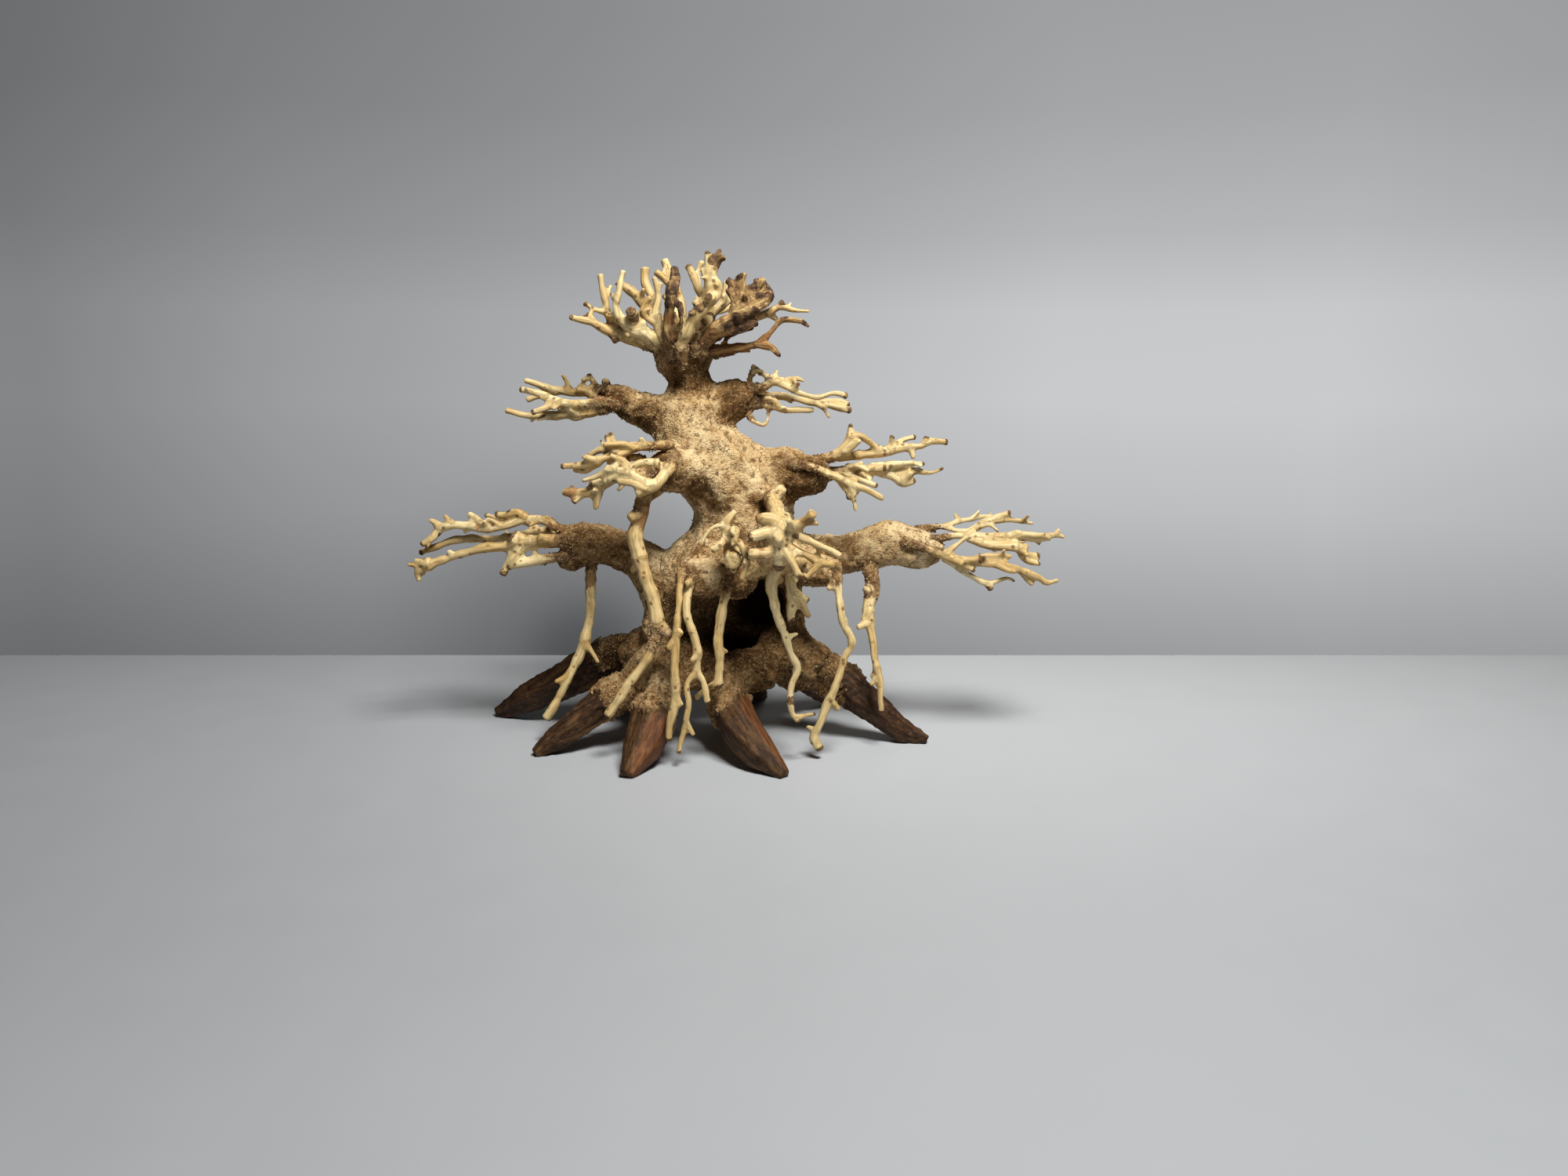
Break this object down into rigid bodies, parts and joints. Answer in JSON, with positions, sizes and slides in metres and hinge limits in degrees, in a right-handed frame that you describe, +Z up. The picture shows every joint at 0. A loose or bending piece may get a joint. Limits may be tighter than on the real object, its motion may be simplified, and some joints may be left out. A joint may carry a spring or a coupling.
{
  "type": "bonsai driftwood",
  "caption": "Driftwood arranged as a small bonsai tree: a hollow stump on carved root spikes, a leaning trunk, tiered limbs with peeled twig pads and hanging roots.",
  "frame": {"origin": "on the ground, under the middle of the whole piece's box", "axes": "+Z up, +X to the right along the widest spread of the limbs, +Y away from the front, which is the side with the hollow"},
  "size_m": [0.2832, 0.1283, 0.2086],
  "materials": {
    "coat": "rough coat of glued wood dust and bark chips, tan to grey-brown",
    "hardwood": "carved dark red-brown hardwood with orange-brown fresh facets",
    "peeled": "smooth peeled ivory-yellow wood with dark bark at cut ends",
    "bark": "brown twig with bark left on"
  },
  "bodies": {
    "root": {"trunk": "coat", "stump": "coat", "lower_left_limb": "coat", "lower_right_limb": "coat", "front_left_limb": "coat", "front_right_limb": "coat", "middle_left_limb": "coat", "middle_right_limb": "coat", "upper_left_limb": "coat", "upper_right_limb": "coat", "rear_limb": "coat", "far_left_spike": "hardwood", "left_spike": "hardwood", "front_left_spike": "hardwood", "front_right_spike": "hardwood", "right_spike": "hardwood", "rear_right_spike": "hardwood", "rear_spike": "hardwood", "rear_left_spike": "hardwood", "far_left_hanging_root": "peeled", "left_hanging_root": "peeled", "front_left_hanging_root": "peeled", "forked_hanging_root": "peeled", "middle_hanging_root": "peeled", "hooked_hanging_root": "peeled", "short_hanging_root": "peeled", "front_right_hanging_root": "peeled", "right_hanging_root": "peeled", "crown_twig_far_left": "peeled", "crown_twig_left": "peeled", "crown_twig_back_left": "peeled", "crown_twig_front_left": "peeled", "crown_twig_tall": "peeled", "crown_twig_dark": "bark", "crown_twig_front": "peeled", "crown_twig_back_right": "peeled", "crown_twig_right_dark": "bark", "crown_twig_right": "peeled", "crown_twig_low_right": "bark", "crown_twig_back": "peeled", "upper_left_twig_top": "peeled", "upper_left_twig_low": "peeled", "upper_right_twig_top": "peeled", "upper_right_twig_middle": "peeled", "upper_right_twig_low": "peeled", "middle_left_twig_top": "peeled", "middle_left_twig_hook": "peeled", "middle_left_twig_low": "peeled", "middle_right_twig_top": "peeled", "middle_right_twig_middle": "peeled", "middle_right_twig_low": "peeled", "lower_left_twig_top": "peeled", "lower_left_twig_middle": "peeled", "lower_left_twig_back": "peeled", "lower_right_twig_top": "peeled", "lower_right_twig_middle": "peeled", "lower_right_twig_low": "peeled", "front_twig_right": "peeled", "front_twig_left": "peeled", "rear_twig": "peeled"}
  },
  "joints": []
}
